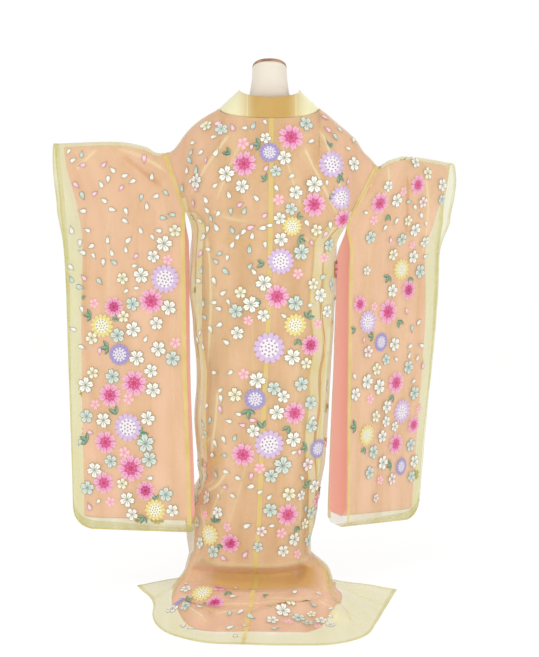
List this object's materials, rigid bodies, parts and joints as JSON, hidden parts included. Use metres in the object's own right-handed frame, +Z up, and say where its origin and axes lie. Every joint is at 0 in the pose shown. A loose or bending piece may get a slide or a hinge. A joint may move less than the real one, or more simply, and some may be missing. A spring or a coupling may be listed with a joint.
{
  "type": "uchikake wedding kimono on a limbless dress form and stand",
  "caption": "Long open wedding over-kimono with hanging sleeves and a trailing hem, worn by a limbless dress form on a round-footed stand.",
  "frame": {"origin": "centre of the underside of the stand's round foot, on the floor", "axes": "+Z up, -Y towards the wearer's back (the decorated side shown), +Y to the wearer's front, +X to the wearer's right"},
  "size_m": [1.151, 0.7677, 1.5077],
  "materials": {
    "organza": "sheer yellow silk organza",
    "lining": "matt peach plain weave",
    "form_cover": "off-white jersey cover",
    "cap_wood": "varnished brown",
    "stand_steel": "cream powder coat"
  },
  "bodies": {
    "root": {"body_left": "organza", "body_right": "organza", "overlap_left": "organza", "overlap_right": "organza", "collar": "organza", "sleeve_left": "organza", "sleeve_right": "organza", "lining_left": "lining", "lining_right": "lining", "sleeve_lining_left": "lining", "sleeve_lining_right": "lining", "form_torso": "form_cover", "form_neck_cap": "cap_wood", "stand_pole": "stand_steel", "stand_base": "stand_steel"}
  },
  "joints": []
}
